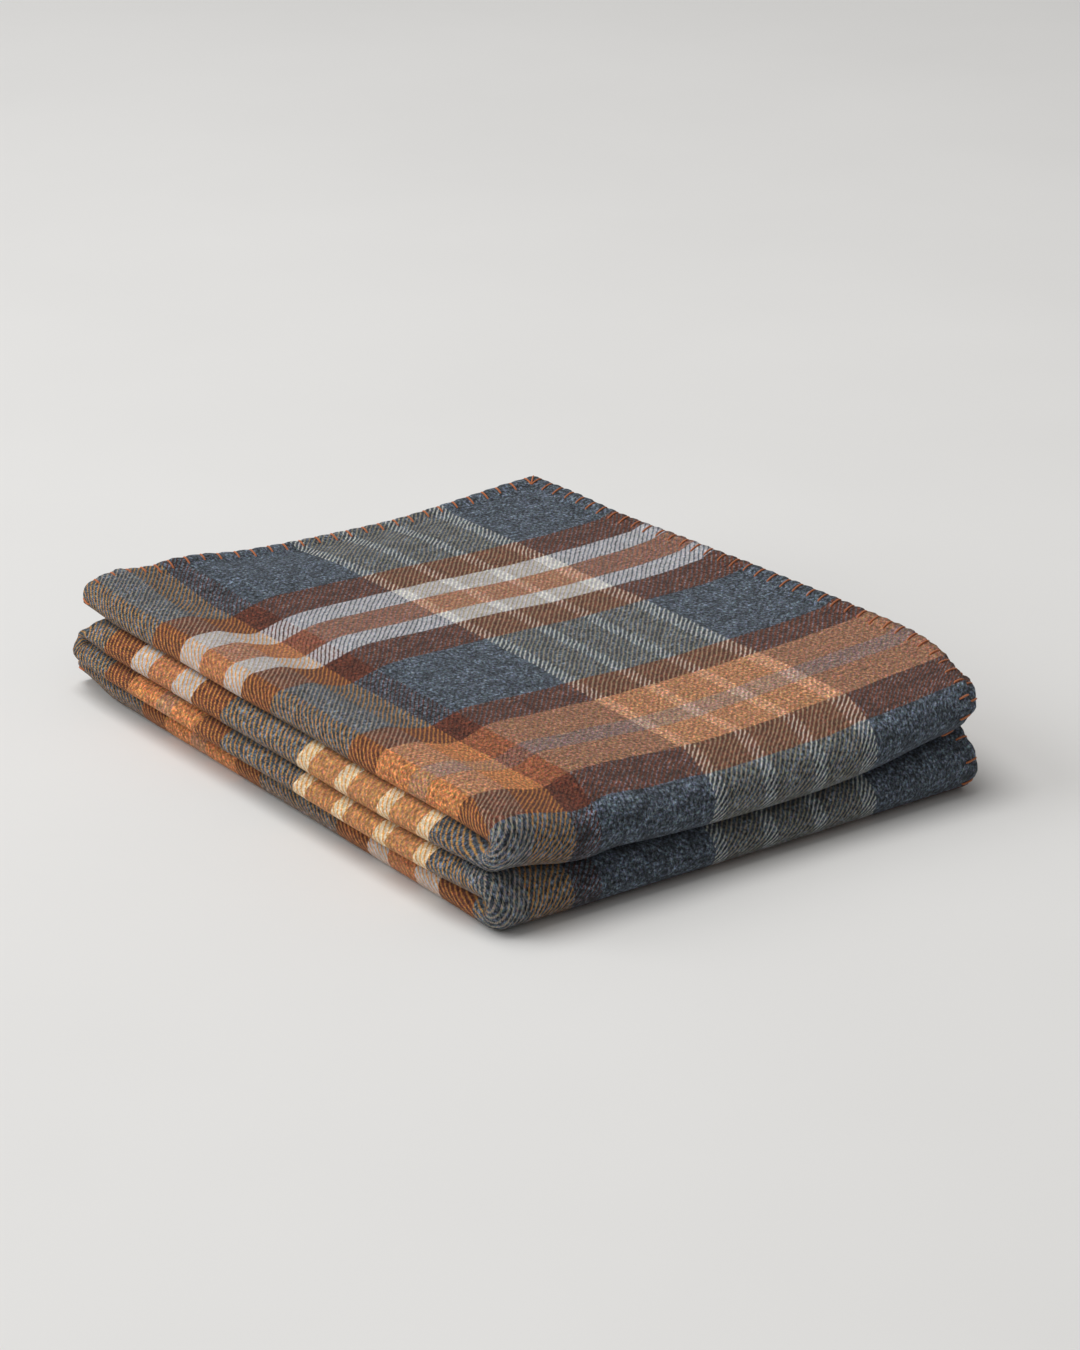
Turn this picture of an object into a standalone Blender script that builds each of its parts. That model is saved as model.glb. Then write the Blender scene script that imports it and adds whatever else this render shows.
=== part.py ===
"""Camp blanket, folded for storage: one woven cloth and the yarn overcast along its four edges.

The cloth is folded in half twice across its width, which makes a strip four layers thick. The strip
is then folded to and fro three times along its length, which makes a stack of sixteen layers.
Metres, +Z up. X runs across the stack and Y along it, and the origin is on the surface that the
blanket lies on, under the middle of the stack.
"""

import math

import bmesh
import bpy

# Driving dimensions.
STACK_WIDTH = 0.354  # across the four rolled edges, over everything
STACK_LENGTH = 0.458  # from fold to fold
CLOTH = 0.0028  # thickness of the fulled wool cloth
LAYER_PITCH = 0.0041  # from one layer to the next, with the air between them
PANELS = 4  # lengths of the strip in the stack
YARN = 0.0016  # the overcast yarn, as a round bead along the edge
CLEARANCE = 0.0003  # between the bead and the edge it binds
TURN_INSET = 0.004  # the turn inside the strip stops this far short of the free edges
CORNER_GAP = 0.0015  # each bead stops this far short of the cloth's corner

FOLD_STEPS = 10
WIDE_STEPS = 10
TIGHT_STEPS = 8
BEAD_SIDES = 8

# Worked out from them.
YARN_RADIUS = YARN / 2
STRIP = 4 * LAYER_PITCH
FOLD_RADIUS = STRIP / 2
WIDE_RADIUS = 1.5 * LAYER_PITCH
TIGHT_RADIUS = 0.5 * LAYER_PITCH
FOLD_Y = STACK_LENGTH / 2 - CLOTH / 2 - FOLD_RADIUS - WIDE_RADIUS
END_Y = STACK_LENGTH / 2 - YARN - CLEARANCE
EDGE_X = STACK_WIDTH / 2 - YARN - CLEARANCE
ROLL_X = -STACK_WIDTH / 2 + CLOTH / 2 + WIDE_RADIUS
TURN_X = EDGE_X - TURN_INSET - CLOTH / 2 - TIGHT_RADIUS

CLOTH_COLOUR = (0.13, 0.10, 0.09, 1.0)
YARN_COLOUR = (0.45, 0.13, 0.04, 1.0)


def clear_scene():
    for obj in list(bpy.data.objects):
        bpy.data.objects.remove(obj, do_unlink=True)


def panel_height(panel):
    """Height of the middle of the strip in a panel, counted from the bottom one, which is 0."""
    return CLOTH / 2 + WIDE_RADIUS + panel * STRIP


def strip_path():
    """The middle of the strip from the top end to the bottom end, as (y, z, facing y, facing z).

    The facing is the way the strip's outer layer looks: up, then round each fold.
    """
    path = [(END_Y, panel_height(PANELS - 1), 0.0, 1.0)]
    for fold in range(PANELS - 1):
        at_front = fold % 2 == 0
        away = -1.0 if at_front else 1.0
        outward = 1.0 if at_front else -1.0
        centre_z = panel_height(PANELS - 1 - fold) - FOLD_RADIUS
        for step in range(FOLD_STEPS + 1):
            angle = math.pi * step / FOLD_STEPS
            side, rise = away * math.sin(angle), math.cos(angle)
            y = away * FOLD_Y + FOLD_RADIUS * side
            z = centre_z + FOLD_RADIUS * rise
            path.append((y, z, outward * side, outward * rise))
    path.append((END_Y, panel_height(0), 0.0, -1.0))
    return path


def strip_profile():
    """The cloth's centreline across the strip, as (x, height, normal x, normal height).

    It runs from the free edge of the outer layer, round the wide roll to the layer below all the
    others, round the turn on the right, round the tight roll, and out to the other free edge.
    """
    profile = [(EDGE_X, WIDE_RADIUS, 0.0, 1.0)]
    for step in range(WIDE_STEPS + 1):
        angle = math.pi * step / WIDE_STEPS
        side, rise = math.sin(angle), math.cos(angle)
        profile.append((ROLL_X - WIDE_RADIUS * side, WIDE_RADIUS * rise, -side, rise))
    for step in range(TIGHT_STEPS + 1):
        angle = math.pi * step / TIGHT_STEPS
        side, rise = math.sin(angle), -math.cos(angle)
        height = -LAYER_PITCH + TIGHT_RADIUS * rise
        profile.append((TURN_X + TIGHT_RADIUS * side, height, side, rise))
    for step in range(TIGHT_STEPS + 1):
        angle = math.pi * step / TIGHT_STEPS
        side, rise = math.sin(angle), -math.cos(angle)
        profile.append((ROLL_X - TIGHT_RADIUS * side, TIGHT_RADIUS * rise, side, -rise))
    profile.append((EDGE_X, TIGHT_RADIUS, 0.0, -1.0))
    return profile


def on_strip(station, x, height):
    """The point at x and this height above the middle of the strip, at a station of its path."""
    y, z, facing_y, facing_z = station
    return (x, y + height * facing_y, z + height * facing_z)


def principled(name, colour, roughness):
    material = bpy.data.materials.new(name)
    material.use_nodes = True
    shader = material.node_tree.nodes["Principled BSDF"]
    shader.inputs["Base Color"].default_value = colour
    shader.inputs["Roughness"].default_value = roughness
    shader.inputs["Metallic"].default_value = 0.0
    return material


def swept_body(name, rings, material, halved_caps=False):
    """A closed body through rings of points. Halved caps suit a ring that folds back on itself:
    each face spans from the ring's first half to its second."""
    shape = bmesh.new()
    sides = len(rings[0])
    verts = [[shape.verts.new(point) for point in ring] for ring in rings]
    for near, far in zip(verts, verts[1:]):
        for k in range(sides):
            after = (k + 1) % sides
            shape.faces.new((near[k], near[after], far[after], far[k]))
    for cap in (verts[0], verts[-1]):
        if halved_caps:
            for k in range(sides // 2 - 1):
                shape.faces.new((cap[k], cap[k + 1], cap[sides - 2 - k], cap[sides - 1 - k]))
        else:
            shape.faces.new(cap)
    bmesh.ops.recalc_face_normals(shape, faces=shape.faces)
    mesh = bpy.data.meshes.new(name)
    shape.to_mesh(mesh)
    shape.free()
    mesh.shade_smooth()
    mesh.set_sharp_from_angle(angle=math.radians(50))
    mesh.materials.append(material)
    obj = bpy.data.objects.new(name, mesh)
    bpy.context.collection.objects.link(obj)
    return obj


def cloth(parent):
    half = CLOTH / 2
    profile = strip_profile()
    outer = [(x + half * nx, h + half * nh) for x, h, nx, nh in profile]
    inner = [(x - half * nx, h - half * nh) for x, h, nx, nh in profile]
    outline = outer + inner[::-1]
    rings = [[on_strip(station, x, h) for x, h in outline] for station in strip_path()]
    material = principled("wool_cloth", CLOTH_COLOUR, 0.9)
    swept_body("folded_wool_cloth", rings, material, halved_caps=True).parent = parent


def bead_circle():
    turns = (2 * math.pi * k / BEAD_SIDES for k in range(BEAD_SIDES))
    return [(YARN_RADIUS * math.cos(turn), YARN_RADIUS * math.sin(turn)) for turn in turns]


def side_bead(name, height, parent):
    """The yarn along a long side of the cloth, at the height of its layer in the strip."""
    path = strip_path()
    inset = CORNER_GAP
    path[0] = (path[0][0] - inset,) + path[0][1:]
    path[-1] = (path[-1][0] - inset,) + path[-1][1:]
    middle_x = EDGE_X + CLEARANCE + YARN_RADIUS
    circle = bead_circle()
    rings = [[on_strip(at, middle_x + a, height + b) for a, b in circle] for at in path]
    material = principled(name, YARN_COLOUR, 0.8)
    swept_body(name, rings, material).parent = parent


def end_bead(name, station, parent):
    """The yarn along an end of the cloth, through all four layers of the strip."""
    profile = strip_profile()
    profile[0] = (profile[0][0] - CORNER_GAP,) + profile[0][1:]
    profile[-1] = (profile[-1][0] - CORNER_GAP,) + profile[-1][1:]
    y, z, facing_y, facing_z = station
    middle = (y + CLEARANCE + YARN_RADIUS, z, facing_y, facing_z)
    rings = []
    for x, height, nx, nh in profile:
        ring = []
        for a, b in bead_circle():
            px, py, pz = on_strip(middle, x + a * nx, height + a * nh)
            ring.append((px, py + b, pz))
        rings.append(ring)
    material = principled(name, YARN_COLOUR, 0.8)
    swept_body(name, rings, material).parent = parent


def main():
    clear_scene()
    blanket = bpy.data.objects.new("blanket", None)
    bpy.context.collection.objects.link(blanket)
    cloth(blanket)
    path = strip_path()
    end_bead("whip_stitch_top_end", path[0], blanket)
    end_bead("whip_stitch_bottom_end", path[-1], blanket)
    side_bead("whip_stitch_outer_side", WIDE_RADIUS, blanket)
    side_bead("whip_stitch_inner_side", TIGHT_RADIUS, blanket)


main()
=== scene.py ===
import math
import random

import bmesh
import bpy
import numpy as np
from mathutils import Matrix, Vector


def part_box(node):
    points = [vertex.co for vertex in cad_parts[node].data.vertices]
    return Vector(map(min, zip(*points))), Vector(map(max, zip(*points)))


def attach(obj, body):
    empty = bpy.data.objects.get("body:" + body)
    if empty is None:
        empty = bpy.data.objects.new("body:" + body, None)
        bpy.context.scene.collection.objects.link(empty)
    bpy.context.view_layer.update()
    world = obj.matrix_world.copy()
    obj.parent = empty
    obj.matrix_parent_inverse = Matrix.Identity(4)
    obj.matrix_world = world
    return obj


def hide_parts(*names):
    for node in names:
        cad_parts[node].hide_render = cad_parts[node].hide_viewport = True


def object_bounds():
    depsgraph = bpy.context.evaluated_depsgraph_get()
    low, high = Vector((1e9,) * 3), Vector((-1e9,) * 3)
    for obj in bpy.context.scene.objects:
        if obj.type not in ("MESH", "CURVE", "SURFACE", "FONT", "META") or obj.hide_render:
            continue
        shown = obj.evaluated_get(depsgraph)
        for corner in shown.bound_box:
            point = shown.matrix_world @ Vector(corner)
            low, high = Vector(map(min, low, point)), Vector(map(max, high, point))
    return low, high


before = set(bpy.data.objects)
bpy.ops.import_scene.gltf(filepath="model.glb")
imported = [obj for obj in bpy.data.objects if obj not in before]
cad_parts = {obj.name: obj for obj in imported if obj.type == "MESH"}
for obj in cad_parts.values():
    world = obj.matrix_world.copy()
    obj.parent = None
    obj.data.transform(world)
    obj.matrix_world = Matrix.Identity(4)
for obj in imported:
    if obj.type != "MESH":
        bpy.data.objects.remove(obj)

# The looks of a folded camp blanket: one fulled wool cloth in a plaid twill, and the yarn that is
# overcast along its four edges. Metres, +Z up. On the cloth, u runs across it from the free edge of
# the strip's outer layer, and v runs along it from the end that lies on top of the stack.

MM = 0.001
cad_low, cad_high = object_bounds()
cloth_low, cloth_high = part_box("folded_wool_cloth")

# The fold, as the CAD has it: a strip of four layers, folded to and fro into four panels.
PANELS = 4
LAYERS = 4 * PANELS
CLOTH = 2.8 * MM
LAYER_PITCH = (cloth_high.z - CLOTH) / (LAYERS - 1)
STRIP = 4 * LAYER_PITCH
STACK_TOP = cloth_high.z
FOLD_RADIUS = STRIP / 2
WIDE_RADIUS = 1.5 * LAYER_PITCH
TIGHT_RADIUS = 0.5 * LAYER_PITCH
EDGE_X = cloth_high.x
ROLL_X = cloth_low.x + CLOTH / 2 + WIDE_RADIUS
TURN_INSET = 4 * MM
TURN_X = EDGE_X - TURN_INSET - CLOTH / 2 - TIGHT_RADIUS
FOLD_Y = cloth_high.y - CLOTH / 2 - FOLD_RADIUS - WIDE_RADIUS
# The ends stop short of the back folds by the room that the yarn takes along an edge.
END_Y = cloth_high.y - (cad_high.x - cloth_high.x)

# The pieces of the way across the strip and of the way along it, and where each one starts.
ACROSS = [EDGE_X - ROLL_X, math.pi * WIDE_RADIUS, TURN_X - ROLL_X, math.pi * TIGHT_RADIUS,
          TURN_X - ROLL_X, math.pi * TIGHT_RADIUS, EDGE_X - ROLL_X]
ACROSS_STEPS = [86, 14, 20, 8, 16, 8, 20]
ALONG = [END_Y + FOLD_Y, math.pi * FOLD_RADIUS, 2 * FOLD_Y, math.pi * FOLD_RADIUS,
         2 * FOLD_Y, math.pi * FOLD_RADIUS, END_Y + FOLD_Y]
ALONG_STEPS = [118, 14, 42, 12, 42, 14, 42]
U_STARTS = np.concatenate([[0.0], np.cumsum(ACROSS)])
S_STARTS = np.concatenate([[0.0], np.cumsum(ALONG)])
CLOTH_WIDTH = U_STARTS[-1]
STRIP_LENGTH = S_STARTS[-1]


def smooth(low, high, value):
    """0 below low, 1 above high, and a smooth ramp between them."""
    t = np.clip((value - low) / (high - low), 0.0, 1.0)
    return t * t * (3.0 - 2.0 * t)


def curve_through(points, value):
    """A smooth curve through a few (place, amount) points, flat beyond the ends."""
    places = np.array([p for p, _ in points])
    amounts = np.array([a for _, a in points])
    value = np.clip(value, places[0], places[-1])
    k = np.clip(np.searchsorted(places, value, side="right") - 1, 0, len(places) - 2)
    gaps = np.diff(places)
    slopes = np.zeros(len(places))
    slopes[1:-1] = (amounts[2:] - amounts[:-2]) / (places[2:] - places[:-2])
    t = (value - places[k]) / gaps[k]
    first, last = amounts[k], amounts[k + 1]
    lift_in, lift_out = slopes[k] * gaps[k], slopes[k + 1] * gaps[k]
    t2, t3 = t * t, t * t * t
    return ((2 * t3 - 3 * t2 + 1) * first + (t3 - 2 * t2 + t) * lift_in
            + (3 * t2 - 2 * t3) * last + (t3 - t2) * lift_out)


def panel_height(panel):
    return CLOTH / 2 + WIDE_RADIUS + panel * STRIP


def across(u):
    """Across the strip at u: x, height above the strip's middle, and the normal's two parts."""
    piece = np.clip(np.searchsorted(U_STARTS, u, side="right") - 1, 0, 6)
    t = u - U_STARTS[piece]
    x, height, nx, nh = (np.zeros_like(u) for _ in range(4))
    straight = {0: (EDGE_X, -1, WIDE_RADIUS, 1), 2: (ROLL_X, 1, -WIDE_RADIUS, -1),
                4: (TURN_X, -1, -TIGHT_RADIUS, 1), 6: (ROLL_X, 1, TIGHT_RADIUS, -1)}
    for k, (start, way, level, up) in straight.items():
        here = piece == k
        x[here] = start + way * t[here]
        height[here] = level
        nh[here] = up
    arcs = {1: (ROLL_X, -1, 0.0, WIDE_RADIUS, 1), 3: (TURN_X, 1, -LAYER_PITCH, TIGHT_RADIUS, -1),
            5: (ROLL_X, -1, 0.0, TIGHT_RADIUS, -1)}
    for k, (centre, way, level, radius, up) in arcs.items():
        here = piece == k
        angle = t[here] / radius
        x[here] = centre + way * radius * np.sin(angle)
        height[here] = level + up * radius * np.cos(angle)
        outward = -1 if k == 5 else 1
        nx[here] = outward * way * np.sin(angle)
        nh[here] = outward * up * np.cos(angle)
    return x, height, nx, nh


def along(s):
    """Along the strip at s: y, z, and the angle that the folds have turned it by."""
    piece = np.clip(np.searchsorted(S_STARTS, s, side="right") - 1, 0, 6)
    t = s - S_STARTS[piece]
    y, z, turned = (np.zeros_like(s) for _ in range(3))
    for k in range(7):
        here = piece == k
        panel = PANELS - 1 - k // 2
        if k % 2 == 0:
            forward = k % 4 == 0
            start = END_Y if k == 0 else (FOLD_Y if forward else -FOLD_Y)
            y[here] = start + (-1 if forward else 1) * t[here]
            z[here] = panel_height(panel)
            turned[here] = 0.0 if forward else math.pi
        else:
            angle = t[here] / FOLD_RADIUS
            away = -1 if k % 4 == 1 else 1
            y[here] = away * (FOLD_Y + FOLD_RADIUS * np.sin(angle))
            z[here] = panel_height(panel) - FOLD_RADIUS * (1 - np.cos(angle))
            turned[here] = angle if away < 0 else math.pi - angle
    return y, z, turned


# How the stack has settled, in millimetres, each as points along one axis. Most were placed in the scene
# from points in the photo, through the fitted camera, then rounded and adjusted.
# The first ones are along x: how high the top lies over the flat stack's at the back, in the middle
# and at the front, what is added to that at the back end and at the front fold, how far the top's back
# end is drawn in, and how far the middle of the front folds has risen.
TOP_BACK = [(-177, 0.5), (-160, 1.0), (-150, 0.3), (-138, -3.5), (-120, -6.8), (-105, -3.5),
            (-90, -0.5), (-80, 0.3), (-45, -0.6), (5, -1.6), (55, -3.2), (100, -3.6), (140, -3.0),
            (160, -2.0), (177, -1.2)]
TOP_MIDDLE = [(-177, 0.5), (-160, 1.0), (-150, 0.4), (-138, -3.2), (-120, -6.6), (-105, -3.2),
              (-92, -0.6), (-80, 0.2), (-50, -0.4), (0, -1.0), (50, -2.6), (97, -2.6),
              (135, -2.2), (160, 0.2), (177, 1.4)]
TOP_FRONT = [(-177, 0.5), (-160, 1.2), (-145, -0.6), (-130, -4.2), (-113, -5.4), (-95, -1.0),
             (-62, -3.0), (-7, -5.6), (42, -4.8), (88, -2.4), (122, 0.2), (150, 2.4), (177, 4.2)]
END_LIFT = [(-177, 0.0), (-150, 3.5), (-128, 5.5), (-112, 5.0), (-95, 1.2), (-70, -2.4), (-40, -3.6),
            (5, -4.8), (55, -4.2), (98, -2.0), (146, -0.5), (177, -1.5)]
NOSE_DROP = [(-177, 0.0), (-93, -3.2), (-58, -4.0), (-4, -3.4), (47, -4.2), (91, -2.2), (177, -1.0)]
END_INSET = [(-177, 0.0), (-140, 0.0), (-90, 3.0), (-40, 5.0), (60, 5.0), (120, 2.5), (177, 0.0)]
SLUMP = [(-177, 2.5), (-120, -1.0), (0, -3.0), (90, -2.0), (177, 3.5)]
# How far to the right the rolls have moved, from the bottom up, and how far the top's stitched right
# edge has, from the front to the back.
ROLL_REACH = [(0.0, 2.0), (8.0, 0.0), (16.0, -3.5), (24.0, -8.5), (32.0, -5.5), (40.0, -3.0),
              (48.0, 2.0), (57.0, 6.5), (66.0, 7.0)]
EDGE_REACH = [(-229, -12.0), (-212, -4.0), (-195, 0.5), (-165, 5.5), (-125, 8.0), (-60, 8.0), (0, 7.0),
              (40, 4.0), (95, 2.0), (160, 1.0), (229, 1.0)]
# Between which places in the flat stack each effect fades in or out, in millimetres: x for the rolls
# and the edges, the distance from the middle for what happens towards the front or the back, and z
# for the upper part, the two bundles and the fold between them.
TOP_TO_BACK = (0.0, 150.0)
TOP_TO_FRONT = (10.0, 160.0)
END_ZONE = (165.0, 229.0)
NOSE_ZONE = (175.0, 225.0)
ROLL_ZONE = (-160.0, -95.0)
EDGE_ZONE = (60.0, 176.0)
FRONT_ZONE = (170.0, 229.0)
BACK_ZONE = (180.0, 229.0)
SLUMP_ZONE = (120.0, 200.0)
BUNDLE_END_ZONE = (190.0, 229.0)
UPPER_ZONE = (44.0, 60.0)
UPPER_BUNDLE = (31.0, 33.5)
BACK_FOLD_LOW = (16.0, 24.0)
BACK_FOLD_HIGH = (42.0, 50.0)
# At the back left the third panel up sinks, and its roll creases. By height, how the sinking sets in,
# and how it stops under the top panel.
THIRD_SINKS = (33.0, 46.0)
TOP_STAYS = (47.9, 49.2)
THIRD_SINK = 7.5
CREASE = 2.0


def top_drop(x, y):
    """How far the top lies over the flat stack's, in millimetres, at a place in millimetres."""
    back = curve_through(TOP_BACK, x)
    middle = curve_through(TOP_MIDDLE, x)
    front = curve_through(TOP_FRONT, x)
    to_back, to_front = smooth(*TOP_TO_BACK, y), smooth(*TOP_TO_FRONT, -y)
    field = middle + (back - middle) * to_back + (front - middle) * to_front
    field = field + curve_through(END_LIFT, x) * smooth(*END_ZONE, y)
    field = field + curve_through(NOSE_DROP, x) * smooth(*NOSE_ZONE, -y)
    ripple = 0.35 * np.sin(x / 23.0 + y / 61.0) * np.sin(y / 37.0 - 0.7)
    return field + ripple + 0.25 * np.sin(y / 19.0 + x / 45.0)


def roll_reach(z, front, back):
    """How far to the right a roll has moved: less at the front, and more low down at the back."""
    low = 1.0 - smooth(0.0, 14.0, z)
    return curve_through(ROLL_REACH, z) * (1.0 - 0.6 * front) + back * (2.5 + 6.0 * low)


def bundle_end(z):
    """How far the right end of each of the two fat bundles at the front is rounded off."""
    lower = 9.0 + 7.0 * ((z - 16.0) / 16.0) ** 2
    upper = 9.0 + 11.5 * np.clip((54.0 - z) / 18.0, 0.0, 1.2) ** 1.2
    return lower + (upper - lower) * smooth(*UPPER_BUNDLE, z)


def edge_reach(y, z, upper):
    """How far to the right the stitched edges have moved, in the top panel and in those below it."""
    uneven = 1.5 * np.sin(y / 60.0 + z / 9.0) - 1.5
    lower_reach = uneven - bundle_end(z) * smooth(*BUNDLE_END_ZONE, -y)
    return upper * curve_through(EDGE_REACH, y) + (1.0 - upper) * lower_reach


def settle(points):
    """Moves points of the flat, even stack to where the soft cloth has settled."""
    x, y, z = (points[:, k] / MM for k in range(3))
    left, right = 1.0 - smooth(*ROLL_ZONE, x), smooth(*EDGE_ZONE, x)
    front, back = smooth(*FRONT_ZONE, -y), smooth(*BACK_ZONE, y)
    upper = smooth(*UPPER_ZONE, z)
    new_x = x + left * roll_reach(z, front, back) + right * edge_reach(y, z, upper)
    back_fold = back * smooth(*BACK_FOLD_LOW, z) * (1.0 - smooth(*BACK_FOLD_HIGH, z))
    new_y = y - back_fold * (1.0 + 4.0 * left) - 1.5 * front - curve_through(END_INSET, x) * back * upper
    share = np.clip(z / (STACK_TOP / MM), 0.0, 1.2)
    halfway = np.sin(np.pi * np.clip(share, 0.0, 1.0)) ** 2
    slump = smooth(*SLUMP_ZONE, -y) * halfway * curve_through(SLUMP, x)
    new_z = z + top_drop(x, y) * share + slump
    # At the back left the panel under the top one sinks, and its roll creases where it turns back.
    sunk = smooth(*THIRD_SINKS, z) * (1.0 - smooth(*TOP_STAYS, z))
    new_z = new_z - THIRD_SINK * back * left * sunk
    new_x = new_x + CREASE * back * left * np.exp(-((z - THIRD_SINKS[0]) / 4.0) ** 2)
    return np.stack([new_x, new_y, new_z], axis=1) * MM


# The stitches, and what they and handling have done to the edges.
STITCH_PITCH = 12.0 * MM
FIRST_STITCH = 9.0 * MM
STITCH_REACH = 9.0 * MM
YARN_RADIUS = 0.6 * MM
CORNER = 9.0 * MM  # the first corner is rounded off within this distance
GATHERED = 7 * MM  # the stitches thin the cloth within this distance of the edge
THINNED = 0.40  # the share of the cloth's thickness that a stitch squeezes out
PULLED = 0.9  # how much less of that there is midway between two stitches
SCALLOP = 1.8 * MM  # how much further out the edge lies between two stitches than at them
RIM_CURL = 3.4 * MM  # how far the rim curls up
CURLED = 13 * MM  # the rim curls up within this distance of the edge
SCALLOP_MIDDLE = 0.6  # where in a scallop the CAD's straight edge lies
CURL_TO_FOLD = (70 * MM, 15 * MM)  # the end of the side's curl, from the front fold
CURL_TO_ROLL = (60 * MM, 20 * MM)  # the end of the back end's curl, from the roll
DRAWN_IN = 6.5 * MM  # the outer layer's edge is drawn in by this much at the front fold


def edge_distances(u, s):
    """From each place on the cloth, how far the nearest long side and the nearest end are."""
    return np.minimum(u, CLOTH_WIDTH - u), np.minimum(s, STRIP_LENGTH - s)


def pinch(place):
    """1 midway between two stitches and 0 where a stitch pulls the edge in."""
    return np.abs(np.sin(math.pi * (place - FIRST_STITCH) / STITCH_PITCH)) ** 0.7


def rim_curl(u, s):
    """How far the overcast edge of the top panel curls up."""
    fold_from, fold_to = (S_STARTS[1] - distance for distance in CURL_TO_FOLD)
    roll_from, roll_to = (EDGE_X - ROLL_X - distance for distance in CURL_TO_ROLL)
    on_top = 1.0 - smooth(fold_from, fold_to, s)
    side = 1.0 - smooth(0.0, CURLED, u)
    end = (1.0 - smooth(0.0, CURLED, s)) * (1.0 - smooth(roll_from, roll_to, u))
    return RIM_CURL * on_top * (side + end - 0.6 * side * end)


def rounded_corner(u, s):
    """Moves places near the cloth's first corner inwards, so that the corner is round."""
    a, b = np.clip(1.0 - u / CORNER, 0.0, 1.0), np.clip(1.0 - s / CORNER, 0.0, 1.0)
    inwards = 1.0 - np.maximum(a, b) / np.maximum(np.hypot(a, b), 1e-9)
    both = (a > 0.0) & (b > 0.0)
    return u + both * CORNER * a * inwards, s + both * CORNER * b * inwards


def surface(u, s, offset):
    """The points of the cloth at (u, s), lifted off its middle by the offset along its face."""
    u, s = rounded_corner(u, s)
    x, height, nx, nh = across(u)
    y, z, turned = along(s)
    side, end = edge_distances(u, s)
    side_band, end_band = 1.0 - smooth(0.0, GATHERED, side), 1.0 - smooth(0.0, GATHERED, end)
    side_pinch, end_pinch = pinch(s + height * turned), pinch(u)
    thinned = np.maximum(side_band * (1 - PULLED * side_pinch), end_band * (1 - PULLED * end_pinch))
    offset = offset * (1.0 - THINNED * thinned)
    outer = smooth(0.9 * LAYER_PITCH, 1.3 * LAYER_PITCH, height) * smooth(0.10, EDGE_X, x)
    drawn_in = DRAWN_IN * outer * smooth(0.175, 0.215, -y) * (s < S_STARTS[2])
    x = x + offset * nx + side_band ** 2 * SCALLOP * (side_pinch - SCALLOP_MIDDLE) - drawn_in
    height = height + offset * nh + rim_curl(u, s)
    y_end = end_band ** 2 * SCALLOP * (end_pinch - SCALLOP_MIDDLE)
    facing_y, facing_z = -np.sin(turned), np.cos(turned)
    points = np.stack([x, y + height * facing_y + y_end, z + height * facing_z], axis=1)
    return settle(points)


# Points (place along the strip in metres, amount in millimetres), found by comparing the stripes on
# the folds and rolls with the photo's: how far the strip's folded edge has wandered across the cloth,
# and how much of the cloth's length the folds have taken up. The wander is lost again within the
# length that UNFOLDING gives.
UNFOLDING = 25 * MM
WANDER = [(0.415, 0.0), (0.432, 5.0), (0.446, 10.0), (S_STARTS[2], 13.0),
          (S_STARTS[2] + UNFOLDING, 0.0), (S_STARTS[5] - UNFOLDING, 0.0), (S_STARTS[5], 10.0),
          (S_STARTS[6], 11.0), (S_STARTS[6] + UNFOLDING, 0.0)]
TAKEN_UP = [(0.400, 0.0), (0.428, 2.5), (0.446, 6.5), (0.512, 1.5), (0.650, 1.5), (0.725, 5.5),
            (0.870, 6.5), (0.945, 22.1), (1.095, 22.1), (1.162, 29.4), (1.310, 29.4), (1.372, 25.0)]


def straight_through(points, value):
    """The straight lines through a few (place in metres, amount in millimetres) points, in metres."""
    places, amounts = zip(*points)
    return np.interp(value, places, amounts) * MM


def cloth_u(u, s):
    """The place across the flat cloth."""
    return u - straight_through(WANDER, s)


def cloth_v(u, s):
    """The place along the flat cloth: the outer layers take a longer way round each fold."""
    x, height, _, _ = across(u)
    _, _, turned = along(s)
    slack = smooth(ROLL_X, ROLL_X + 60 * MM, x)
    return s + height * turned * slack - straight_through(TAKEN_UP, s)


def edge_place(length, height):
    """The place along the strip that a length measured on a layer at this height in it reaches."""
    s = np.linspace(0.0, STRIP_LENGTH, 2000)
    _, _, turned = along(s)
    return np.where(length < 0.0, length, np.interp(length, s + height * turned, s))


def steps(starts, lengths, counts):
    places = [start + length * np.arange(n) / n for start, length, n in zip(starts, lengths, counts)]
    return np.concatenate(places + [[starts[-1]]])


def new_piece(name, mesh, material):
    mesh.materials.append(material)
    obj = bpy.data.objects.new(name, mesh)
    bpy.context.scene.collection.objects.link(obj)
    return obj


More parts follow.
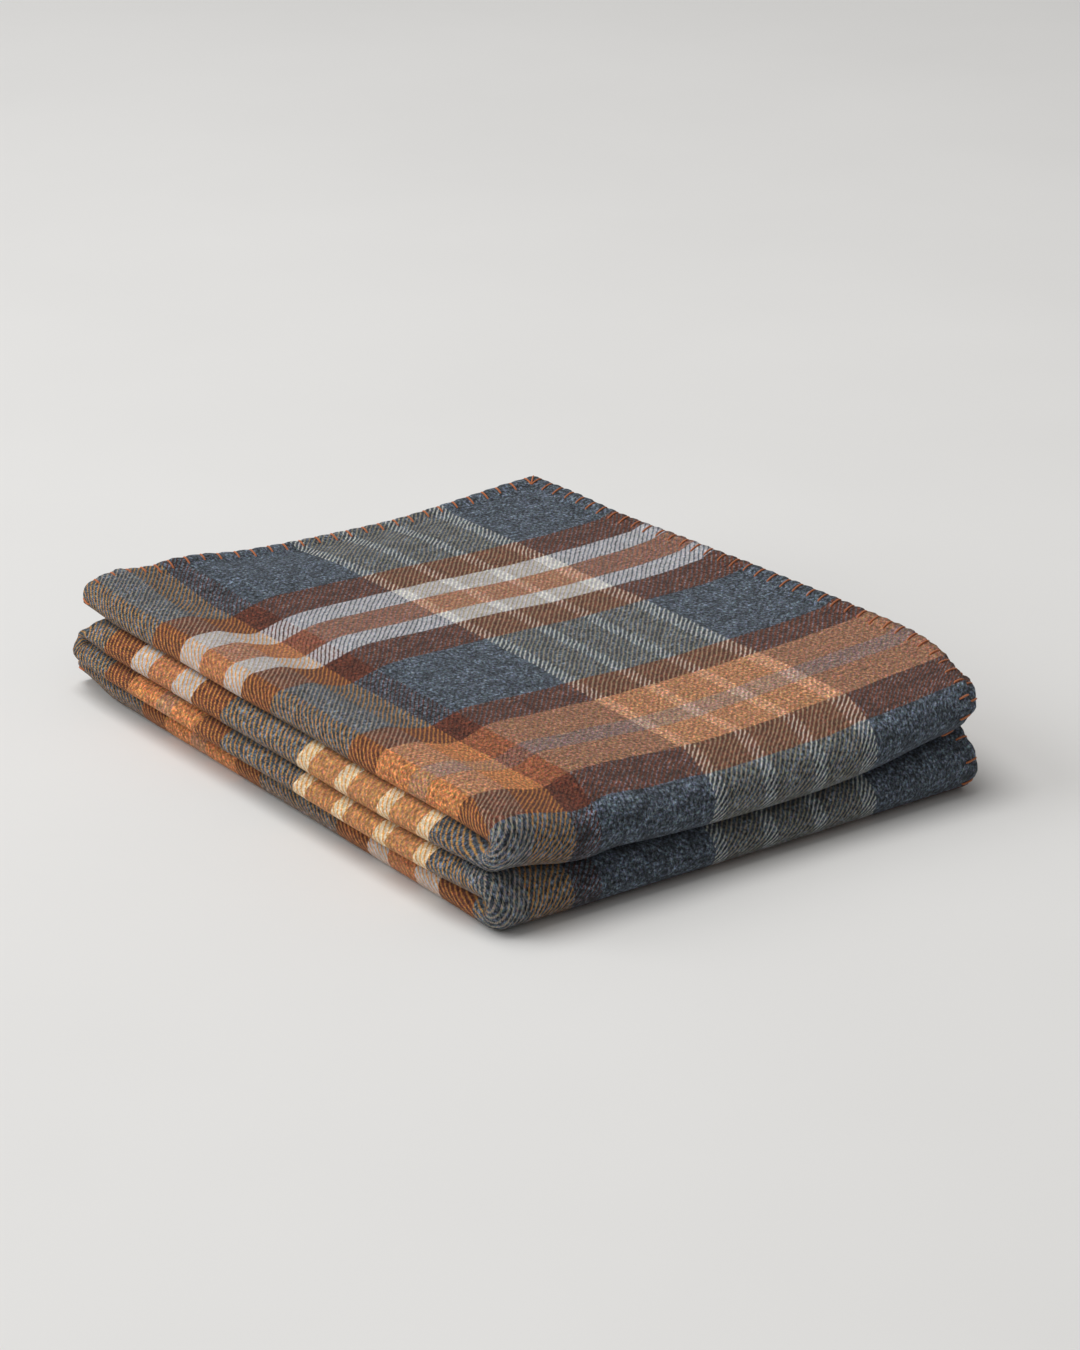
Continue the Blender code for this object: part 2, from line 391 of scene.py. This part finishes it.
def cloth_piece(material):
    """The whole cloth as one closed sheet: its two faces and the rim between them."""
    us = steps(U_STARTS, ACROSS, ACROSS_STEPS)
    ss = steps(S_STARTS, ALONG, ALONG_STEPS)
    rows, cols = len(ss), len(us)
    u, s = (grid.ravel() for grid in np.meshgrid(us, ss))
    faces_at = [surface(u, s, np.full_like(u, half)) for half in (CLOTH / 2, -CLOTH / 2)]
    points = np.concatenate(faces_at)
    grid = np.arange(rows * cols).reshape(rows, cols)
    top = np.stack([grid[:-1, :-1], grid[:-1, 1:], grid[1:, 1:], grid[1:, :-1]], axis=-1).reshape(-1, 4)
    under = top[:, ::-1] + rows * cols
    outline = np.concatenate([grid[0, :], grid[1:, -1], grid[-1, -2::-1], grid[-2:0:-1, 0]])
    after = np.roll(outline, -1)
    rim = np.stack([outline, outline + rows * cols, after + rows * cols, after], axis=-1)
    quads = np.concatenate([top, under, rim])
    mesh = bpy.data.meshes.new("wool_cloth")
    mesh.from_pydata(points.tolist(), [], quads.tolist())
    flat = np.stack([cloth_u(u, s), cloth_v(u, s)], axis=1)
    flat = np.concatenate([flat, flat]).astype(np.float32)
    layer = mesh.uv_layers.new(name="cloth")
    layer.data.foreach_set("uv", flat[quads.ravel()].ravel())
    mesh.shade_smooth()
    return new_piece("wool_blanket_cloth", mesh, material)


# The plaid: each block of stripes, in millimetres across, and the plain slate between the blocks.
BLOCKS = {
    "A": [("brown", 32), ("white", 20), ("rust", 28), ("white", 20), ("brown", 32)],
    "B": [("brown", 27), ("orange", 31), ("grey", 18), ("orange", 31), ("brown", 27)],
    "C": [("ivory", 12.2), ("camel", 28.0), ("ivory", 12.2), ("camel", 28.0), ("ivory", 12.2),
          ("camel", 28.0), ("ivory", 12.2)],
    "B across": [("umber", 21), ("gold", 32.4), ("stone", 27.3), ("gold", 32.4), ("umber", 21)],
    "C across": [("cream", 10.5), ("tan", 30.3), ("cream", 10.5), ("tan", 30.3), ("cream", 10.5),
                 ("tan", 30.3), ("cream", 10.5)],
}
WEFT_PLAN = [("A", 82.0), ("B", 71.3), ("C", 80.8)]
WEFT_START = 89.1
WARP_PLAN = [("C across", 78.7), ("B across", 71.0), ("A", 71.0)]
WARP_START = 77.3
# The blocks stop here, so that the cloth's far edges are plain slate, as its near ones are.
WEFT_END = 1770.0
WARP_END = 1370.0
# Before its first block the sett is followed back only this far, which is still in plain slate.
PLAIN_EDGE = 60.0
# The widths of the blocks' stripes are scaled by this across the cloth.
WARP_SCALE = 0.88

# The yarns' colours, as linear red, green and blue.
YARNS = {
    "slate": (0.066, 0.083, 0.106),
    "brown": (0.130, 0.0385, 0.0200),
    "umber": (0.045, 0.0085, 0.0040),
    "white": (0.585, 0.565, 0.585),
    "rust": (0.39, 0.152, 0.085),
    "orange": (0.50, 0.188, 0.080),
    "grey": (0.38, 0.200, 0.145),
    "cream": (0.80, 0.78, 0.66),
    "tan": (0.355, 0.290, 0.180),
    "camel": (0.45, 0.21, 0.105),
    "ivory": (0.84, 0.70, 0.50),
    "gold": (0.60, 0.255, 0.050),
    "stone": (0.39, 0.30, 0.21),
}
# How sharply the twill shows in each weft: the heathered yarns are fuzzy and blur into the warp.
CRISPNESS = {"orange": 0.15, "grey": 0.30, "rust": 0.45, "camel": 0.50, "brown": 0.85, "slate": 0.90}
STITCH_COLOUR = (0.62, 0.17, 0.04)
# Fibres of two yarns darken each other as filters do, so colours are mixed as their fourth roots.
MIXING_POWER = 4.0

# The spacing of the threads, and how far they stray over a few millimetres and over a few centimetres.
WARP_THREAD = 0.90
WEFT_THREAD = 1.03
HAIRY = 1.6
CROOKED = 3.2
# How strongly the beads along the threads and the nap break up the twill's lines.
BEADS = -0.40
NAP = 3.4
# The twill's wave goes from mostly warp to mostly weft between these, with this share of weft there.
LINE_EDGES = (-1.05, 0.05)
LINE_SHARES = (0.05, 0.99)
# The share of the weft in the colour, and how much more of it slate's thick nap gives.
WEFT_SHARE = 0.72
NAP_COVER = 0.65
# How deep the heather's flecks are, and how far their hue strays.
FLECK_DEPTH = 0.34
FLECK_HUE = 0.72
# The noises as (scale, detail, roughness): the cloth's scales are per millimetre, the yarn's per metre.
HAIRY_NOISE = (0.30, 3.0, 0.6)
CROOKED_NOISE = (0.035, 1.0, 0.5)
NAP_NOISE = (0.90, 3.0, 0.70)
FLECK_NOISE = (0.50, 5.0, 0.82)
HUE_NOISE = (0.85, 3.0, 0.75)
CLOUD_NOISE = (0.11, 3.0, 0.6)
YARN_NOISE = (900.0, 3.0, 0.6)
# Makes the flecks a little longer along the cloth than across it.
FLECK_STRETCH = (1.0, 0.8, 1.0)
# The mixed red, as a fourth root, at which a colour starts to count as dark and at which it fully does.
DARK_RED = (0.86, 0.52)
# The twisted plies of the stitching yarn show this many ridges a metre.
PLY_RIDGES = 900.0


def sett(plan, scale):
    """One repeat of the plaid as (yarn, width) stripes in millimetres, and its whole width."""
    stripes = []
    for block, gap in plan:
        stripes += [(yarn, width * scale) for yarn, width in BLOCKS[block]]
        stripes.append(("slate", gap))
    return stripes, sum(width for _, width in stripes)


class Nodes:
    """A short way to write a material's nodes."""

    def __init__(self, name):
        self.material = bpy.data.materials.new(name)
        self.material.use_nodes = True
        self.tree = self.material.node_tree
        self.shader = self.tree.nodes["Principled BSDF"]

    def add(self, kind, **settings):
        node = self.tree.nodes.new(kind)
        for key, value in settings.items():
            setattr(node, key, value)
        return node

    def put(self, socket, value):
        if hasattr(value, "is_linked"):
            self.tree.links.new(value, socket)
        else:
            socket.default_value = value

    def math(self, operation, a, b=0.0, c=0.0):
        node = self.add("ShaderNodeMath", operation=operation)
        for socket, value in zip(node.inputs, (a, b, c)):
            self.put(socket, value)
        return node.outputs[0]

    def vector(self, operation, *values):
        node = self.add("ShaderNodeVectorMath", operation=operation)
        for socket, value in zip(node.inputs, values):
            self.put(socket, value)
        return node.outputs[0]

    def parts(self, kind, value):
        """The three parts of a vector (XYZ) or of a colour (Color)."""
        node = self.add("ShaderNodeSeparate" + kind)
        self.put(node.inputs[0], value)
        return node.outputs

    def mix(self, factor, a, b, blend="MIX"):
        node = self.add("ShaderNodeMix", data_type="RGBA", blend_type=blend)
        self.put(node.inputs["Factor"], factor)
        self.put(node.inputs[6], a)
        self.put(node.inputs[7], b)
        return node.outputs[2]

    def noise(self, vector, scale, detail=2.0, roughness=0.5):
        node = self.add("ShaderNodeTexNoise")
        self.put(node.inputs["Vector"], vector)
        self.put(node.inputs["Scale"], scale)
        self.put(node.inputs["Detail"], detail)
        self.put(node.inputs["Roughness"], roughness)
        return node

    def spread(self, value, low, high):
        """The value's part between low and high, stretched to 0 to 1."""
        node = self.add("ShaderNodeMapRange")
        self.put(node.inputs["Value"], value)
        node.inputs["From Min"].default_value = low
        node.inputs["From Max"].default_value = high
        return node.outputs["Result"]

    def grey(self, value):
        node = self.add("ShaderNodeCombineColor")
        for socket in node.inputs:
            self.put(socket, value)
        return node.outputs[0]

    def ramp(self, factor, stops, interpolation="CONSTANT"):
        node = self.add("ShaderNodeValToRGB")
        node.color_ramp.interpolation = interpolation
        elements = node.color_ramp.elements
        while len(elements) < len(stops):
            elements.new(1.0)
        for element, (place, colour, alpha) in zip(elements, stops):
            element.position = place
            element.color = (*colour, alpha)
        self.put(node.inputs["Fac"], factor)
        return node.outputs

    def stripes(self, place, start, end, plan, scale):
        """The yarn's colour, and its crispness as alpha, at a place in millimetres. The sett repeats
        from the start to the end, which lies in plain slate, and beyond them it stays slate."""
        bands, repeat = sett(plan, scale)
        shifted = self.math("MAXIMUM", self.math("SUBTRACT", place, start), -PLAIN_EDGE)
        shifted = self.math("MINIMUM", shifted, end - start)
        turn = self.math("DIVIDE", shifted, repeat)
        within = self.math("FRACT", self.math("ADD", turn, 4.0))
        stops, at = [], 0.0
        for yarn, width in bands:
            colour = [part ** (1.0 / MIXING_POWER) for part in YARNS[yarn]]
            stops.append((at / repeat, colour, CRISPNESS.get(yarn, 1.0)))
            at += width
        return self.ramp(within, stops)

    def bump(self, height, strength, distance):
        node = self.add("ShaderNodeBump")
        node.inputs["Strength"].default_value = strength
        node.inputs["Distance"].default_value = distance
        self.put(node.inputs["Height"], height)
        self.put(self.shader.inputs["Normal"], node.outputs[0])


def thread_places(n, place):
    """The place across and along the cloth, in millimetres. The threads' own straying is in it, so
    the stripes waver."""
    strayed = n.vector("MULTIPLY_ADD", n.noise(place, *HAIRY_NOISE).outputs["Color"],
                       (HAIRY, HAIRY, 0.0), place)
    strayed = n.vector("MULTIPLY_ADD", n.noise(place, *CROOKED_NOISE).outputs["Color"],
                       (CROOKED, CROOKED, 0.0), strayed)
    strayed = n.vector("SUBTRACT", strayed, (CROOKED / 2, CROOKED / 2, 0.0))
    return n.parts("XYZ", strayed)[:2]


def twill(n, place, warp_count, weft_count):
    """The 2/2 twill's diagonal wave, high on the weft's floats, clean and broken up by the nap. Each
    thread passes over two and under two, one step on at each row."""
    diagonal = n.math("SUBTRACT", warp_count, weft_count)
    wave = n.math("SINE", n.math("MULTIPLY", diagonal, math.pi / 2))
    beads = n.math("COSINE", n.math("MULTIPLY", warp_count, 2 * math.pi))
    clean = n.math("MULTIPLY_ADD", beads, BEADS, wave)
    nap = n.math("SUBTRACT", n.noise(place, *NAP_NOISE).outputs["Fac"], 0.5)
    return clean, n.math("MULTIPLY_ADD", nap, NAP, clean)


def woven_colour(n, warp, weft, broken):
    """The warp and the weft mixed. The weft covers most of the face, and the warp shows in the lines
    between its floats."""
    cover = n.add("ShaderNodeMapRange", interpolation_type="SMOOTHSTEP")
    n.put(cover.inputs["Value"], broken)
    for socket, value in zip(("From Min", "From Max", "To Min", "To Max"), LINE_EDGES + LINE_SHARES):
        n.put(cover.inputs[socket], value)
    swing = n.math("SUBTRACT", cover.outputs["Result"], WEFT_SHARE)
    swing = n.math("MULTIPLY", swing, weft["Alpha"])
    # Slate, the one cool yarn, has the thickest nap, which hides a little more of the warp.
    red, _, blue = n.parts("Color", weft["Color"])
    cool = n.math("MAXIMUM", n.math("SUBTRACT", blue, red), 0.0)
    share = n.math("MULTIPLY_ADD", cool, NAP_COVER, WEFT_SHARE)
    return n.mix(n.math("ADD", swing, share), warp["Color"], weft["Color"])


def fibre_noise(n, place, kind):
    """One of the noises, stretched a little along the cloth."""
    return n.noise(n.vector("MULTIPLY", place, FLECK_STRETCH), *kind).outputs


def heathered(n, place, colour, fuzzy, clean, flecks):
    """The colour with fibres of other shades carded in, in flecks, slubs and clouds. They show most in
    the dark yarns and in the fuzzy ones. The twill's wave darkens the colour a little in its valleys, as
    painted shade."""
    dark = n.spread(n.parts("Color", colour)[0], *DARK_RED)
    darkest = n.math("POWER", dark, 3.0)
    strength = n.math("MULTIPLY_ADD", darkest, 1.90, 0.50)
    strength = n.math("MULTIPLY_ADD", fuzzy, 0.95, strength)
    fleck = n.math("MULTIPLY", n.math("SUBTRACT", flecks, 0.5), strength)
    depth = n.math("MULTIPLY_ADD", fleck, FLECK_DEPTH, 1.0)
    # Painted shade: the colour is a little darker where the twill's wave is high, in the valleys of the
    # bump.
    depth = n.math("MULTIPLY", depth, n.math("MULTIPLY_ADD", clean, -0.030, 0.995))
    cloudy = n.math("SUBTRACT", n.noise(place, *CLOUD_NOISE).outputs["Fac"], 0.5)
    clouds = n.math("MULTIPLY", cloudy, n.math("MULTIPLY_ADD", darkest, 0.60, 0.18))
    depth = n.math("MULTIPLY", depth, n.math("ADD", clouds, 1.0))
    colour = n.mix(1.0, colour, n.grey(depth), "MULTIPLY")
    hues = fibre_noise(n, place, HUE_NOISE)["Color"]
    tint = n.vector("MULTIPLY_ADD", hues, (FLECK_HUE, 0.6 * FLECK_HUE, FLECK_HUE),
                    (1.0 - FLECK_HUE / 2, 1.0 - 0.3 * FLECK_HUE, 1.0 - FLECK_HUE / 2))
    tinted = n.math("ADD", n.math("MULTIPLY_ADD", dark, 0.20, 0.25), fuzzy)
    return n.mix(tinted, colour, n.mix(1.0, colour, tint, "MULTIPLY"))


def wool_material():
    n = Nodes("plaid_wool")
    uv = n.add("ShaderNodeUVMap", uv_map="cloth").outputs[0]
    place = n.vector("MULTIPLY", uv, (1 / MM, 1 / MM, 1 / MM))
    u, v = thread_places(n, place)
    warp = n.stripes(u, WARP_START, WARP_END, WARP_PLAN, WARP_SCALE)
    weft = n.stripes(v, WEFT_START, WEFT_END, WEFT_PLAN, 1.0)
    warp_count = n.math("DIVIDE", u, WARP_THREAD)
    weft_count = n.math("DIVIDE", v, WEFT_THREAD)
    clean, broken = twill(n, place, warp_count, weft_count)
    flecks = n.spread(fibre_noise(n, place, FLECK_NOISE)["Fac"], 0.38, 0.62)
    fuzzy = n.math("SUBTRACT", 1.0, weft["Alpha"])
    colour = heathered(n, place, woven_colour(n, warp, weft, broken), fuzzy, clean, flecks)
    decoded = n.add("ShaderNodeGamma")
    n.put(decoded.inputs["Color"], colour)
    decoded.inputs["Gamma"].default_value = MIXING_POWER
    n.put(n.shader.inputs["Base Color"], decoded.outputs[0])
    n.put(n.shader.inputs["Roughness"], n.math("MULTIPLY_ADD", flecks, 0.12, 0.84))
    crowns = n.math("ADD", n.math("COSINE", n.math("MULTIPLY", warp_count, 2 * math.pi)),
                    n.math("COSINE", n.math("MULTIPLY", weft_count, 2 * math.pi)))
    weave = n.math("MULTIPLY_ADD", crowns, 0.12, n.math("MULTIPLY", broken, -0.35))
    n.bump(n.math("MULTIPLY_ADD", flecks, 0.9, weave), 0.75, 0.5 * MM)
    n.shader.inputs["Sheen Weight"].default_value = 0.10
    n.shader.inputs["Sheen Roughness"].default_value = 0.5
    n.shader.inputs["Specular IOR Level"].default_value = 0.15
    return n.material


def yarn_material():
    n = Nodes("stitch_yarn")
    uv = n.add("ShaderNodeUVMap", uv_map="yarn").outputs[0]
    length, turn, _ = n.parts("XYZ", uv)
    # Two plies twisted together, and the fibres in them. The plies' twist is painted into the colour as
    # light on their ridges and shade in the grooves between them; the fibres vary its tone.
    ply = n.math("SINE", n.math("ADD", n.math("MULTIPLY", length, 2 * math.pi * PLY_RIDGES),
                                n.math("MULTIPLY", turn, 4 * math.pi)))
    fibre = n.noise(uv, *YARN_NOISE).outputs["Fac"]
    shade = n.math("ADD", n.math("MULTIPLY", ply, 0.16), fibre)
    dark, light = ([min(share * part, 1.0) for part in STITCH_COLOUR] for share in (0.45, 1.5))
    stops = [(0.25, dark, 1.0), (0.55, STITCH_COLOUR, 1.0), (0.85, light, 1.0)]
    n.put(n.shader.inputs["Base Color"], n.ramp(shade, stops, "LINEAR")["Color"])
    n.put(n.shader.inputs["Roughness"], n.math("MULTIPLY_ADD", fibre, 0.2, 0.65))
    n.bump(n.math("ADD", ply, fibre), 0.8, 0.2 * MM)
    n.shader.inputs["Sheen Weight"].default_value = 0.2
    return n.material


# How much one stitch differs from the next: where it starts, how far in it reaches, and its slant.
START_PLAY = 0.7 * MM
REACH_PLAY = (-0.16, 0.10)
SLANT_PLAY = (0.92, 1.05)
# The stitch over the corner itself has only a stitch's first points, until it is over the edge.
CORNER_POINTS = 9
YARN_SIDES = 6
# One whip stitch, as (share of the pitch along the edge, share of the reach in from the edge, level):
# up through its hole, across the face, over the edge, and back under the cloth to the next hole.
STITCH_SHAPE = [(0.0, 1.0, -0.6), (0.004, 1.0, 0.2), (0.012, 0.9, 0.95), (0.03, 0.6, 1.05),
                (0.05, 0.28, 1.05), (0.062, 0.06, 0.95), (0.068, -0.055, 0.45), (0.072, -0.07, -0.1),
                (0.08, -0.04, -0.6), (0.12, 0.10, -0.95), (0.5, 0.5, -1.05), (0.9, 0.9, -0.95)]


def stitch_run(name, length, place_of, face, fanned, material, seed):
    """One run of whip stitches along an edge. place_of maps (along the edge, in from it) to (u, s),
    and face is the side of the cloth that the strokes lie on: 1 for its face, -1 for its back. A
    fanned run ends with one more stitch, from the corner's hole over the corner itself."""
    rng = random.Random(seed)
    count = int((length - FIRST_STITCH) / STITCH_PITCH)
    route = []
    for k in reversed(range(count)):
        loose = 1.0 if k > 0 else 0.0
        start = FIRST_STITCH + k * STITCH_PITCH + loose * rng.uniform(-START_PLAY, START_PLAY)
        reach = STITCH_REACH * (1.0 + loose * rng.uniform(*REACH_PLAY))
        pitch = STITCH_PITCH * rng.uniform(*SLANT_PLAY)
        for share, inward, level in STITCH_SHAPE:
            route.append((start - share * pitch, inward * reach, level))
    if fanned:
        for _, inward, level in STITCH_SHAPE[:CORNER_POINTS]:
            route.append((inward * FIRST_STITCH, inward * STITCH_REACH, level))
    where, inward, level = np.array(route).T
    path = surface(*place_of(where, inward), face * level * (CLOTH / 2 + YARN_RADIUS * 0.7))
    # Past the rim the stitch leaves the cloth's surface, straight on.
    none = np.zeros(len(where))
    rim = surface(*place_of(where, none), none)
    away = rim - surface(*place_of(where, none + 4 * MM), none)
    away /= np.linalg.norm(away, axis=1)[:, None]
    path -= away * np.minimum(inward, 0.0)[:, None]
    path[:, 2] = np.maximum(path[:, 2], YARN_RADIUS)
    return yarn_tube(name, path, material)


# Each run's length, its place_of, the side of the cloth it shows on, and whether it is fanned.
STITCH_RUNS = {
    "whip_stitch_top_end": (
        CLOTH_WIDTH, lambda a, b: (a, np.maximum(b, 0.0)), 1, True),
    "whip_stitch_bottom_end": (
        CLOTH_WIDTH, lambda a, b: (a, STRIP_LENGTH - np.maximum(b, 0.0)), 1, False),
    "whip_stitch_outer_side": (
        STRIP_LENGTH + math.pi * WIDE_RADIUS,
        lambda a, b: (np.maximum(b, 0.0), edge_place(a, WIDE_RADIUS)), 1, False),
    "whip_stitch_inner_side": (
        STRIP_LENGTH + math.pi * TIGHT_RADIUS,
        lambda a, b: (CLOTH_WIDTH - np.maximum(b, 0.0), edge_place(a, TIGHT_RADIUS)), -1, False),
}


def yarn_tube(name, path, material):
    """A round yarn along a path, closed at both ends."""
    ahead = np.gradient(path, axis=0)
    ahead /= np.linalg.norm(ahead, axis=1)[:, None] + 1e-12
    side = np.cross(ahead, [0.31, 0.22, 0.92])
    side /= np.linalg.norm(side, axis=1)[:, None]
    other = np.cross(ahead, side)
    turns = np.arange(YARN_SIDES) * 2 * math.pi / YARN_SIDES
    rings = (path[:, None, :] + YARN_RADIUS * (np.cos(turns)[None, :, None] * side[:, None, :]
             + np.sin(turns)[None, :, None] * other[:, None, :]))
    count = len(path)
    points = rings.reshape(-1, 3)
    lengths = np.concatenate([[0.0], np.cumsum(np.linalg.norm(np.diff(path, axis=0), axis=1))])
    ring = np.arange(YARN_SIDES)
    after = (ring + 1) % YARN_SIDES
    base = np.arange(count - 1)[:, None] * YARN_SIDES
    quads = np.stack([base + ring, base + after, base + YARN_SIDES + after, base + YARN_SIDES + ring],
                     axis=-1).reshape(-1, 4)
    caps = [ring[::-1].tolist(), (ring + (count - 1) * YARN_SIDES).tolist()]
    mesh = bpy.data.meshes.new(name)
    mesh.from_pydata(points.tolist(), [], quads.tolist() + caps)
    layer = mesh.uv_layers.new(name="yarn")
    values = np.zeros((len(mesh.loops), 2), np.float32)
    loops = np.zeros(len(mesh.loops), np.int32)
    mesh.loops.foreach_get("vertex_index", loops)
    values[:, 0] = lengths[loops // YARN_SIDES]
    values[:, 1] = (loops % YARN_SIDES) / YARN_SIDES
    layer.data.foreach_set("uv", values.ravel())
    mesh.shade_smooth()
    return new_piece(name, mesh, material)


# The stage, in metres and degrees. The camera was fitted to the photo.
FLOOR_REACH = 12.0
WORLD_STRENGTH = 0.30
LENS = 105.0
SENSOR = 36.0
CAMERA_PLACE = (-1.2753, -1.7849, 0.9177)
LOOKS_DOWN = 21.86
HEADING = -35.894


def floor_piece():
    mesh = bpy.data.meshes.new("floor")
    shape = bmesh.new()
    bmesh.ops.create_grid(shape, x_segments=1, y_segments=1, size=FLOOR_REACH)
    shape.to_mesh(mesh)
    shape.free()
    n = Nodes("pale_floor")
    where = n.add("ShaderNodeTexCoord").outputs["Object"]
    grain = n.noise(where, 3.0, 3.0).outputs["Fac"]
    stops = [(0.3, (0.74, 0.735, 0.725), 1.0), (0.7, (0.76, 0.755, 0.745), 1.0)]
    n.put(n.shader.inputs["Base Color"], n.ramp(grain, stops, "LINEAR")["Color"])
    n.shader.inputs["Roughness"].default_value = 0.9
    n.shader.inputs["Specular IOR Level"].default_value = 0.1
    new_piece("floor", mesh, n.material)


def soft_light(name, place, size, power, colour):
    """A round light that shines on the origin."""
    data = bpy.data.lights.new(name, "AREA")
    data.shape = "DISK"
    data.size = size
    data.energy = power
    data.color = colour
    obj = bpy.data.objects.new(name, data)
    bpy.context.scene.collection.objects.link(obj)
    obj.location = place
    obj.rotation_euler = (-Vector(place)).to_track_quat("-Z", "Y").to_euler()


def studio():
    world = bpy.data.worlds.new("studio")
    bpy.context.scene.world = world
    world.use_nodes = True
    background = world.node_tree.nodes["Background"]
    background.inputs["Color"].default_value = (1.0, 0.988, 0.972, 1.0)
    background.inputs["Strength"].default_value = WORLD_STRENGTH
    soft_light("overhead", (-0.8, 0.8, 4.5), 3.2, 124.0, (1.0, 0.995, 0.985))
    soft_light("key", (-4.3, 2.7, 2.9), 4.8, 160.0, (0.98, 0.99, 1.0))
    bpy.context.scene.view_settings.view_transform = "Standard"


def camera():
    data = bpy.data.cameras.new("camera")
    data.lens = LENS
    data.sensor_width = SENSOR
    obj = bpy.data.objects.new("camera", data)
    bpy.context.scene.collection.objects.link(obj)
    obj.location = CAMERA_PLACE
    obj.rotation_euler = (math.radians(90.0 - LOOKS_DOWN), 0.0, math.radians(HEADING))
    bpy.context.scene.camera = obj


def main():
    wool, yarn = wool_material(), yarn_material()
    cloth = cloth_piece(wool)
    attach(cloth, "root")
    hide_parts("folded_wool_cloth")
    for seed, (node, (length, place_of, face, fanned)) in enumerate(STITCH_RUNS.items(), 1):
        run = stitch_run(node + "_yarn", length, place_of, face, fanned, yarn, seed)
        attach(run, "root")
        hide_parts(node)
    floor_piece()
    studio()
    camera()


main()
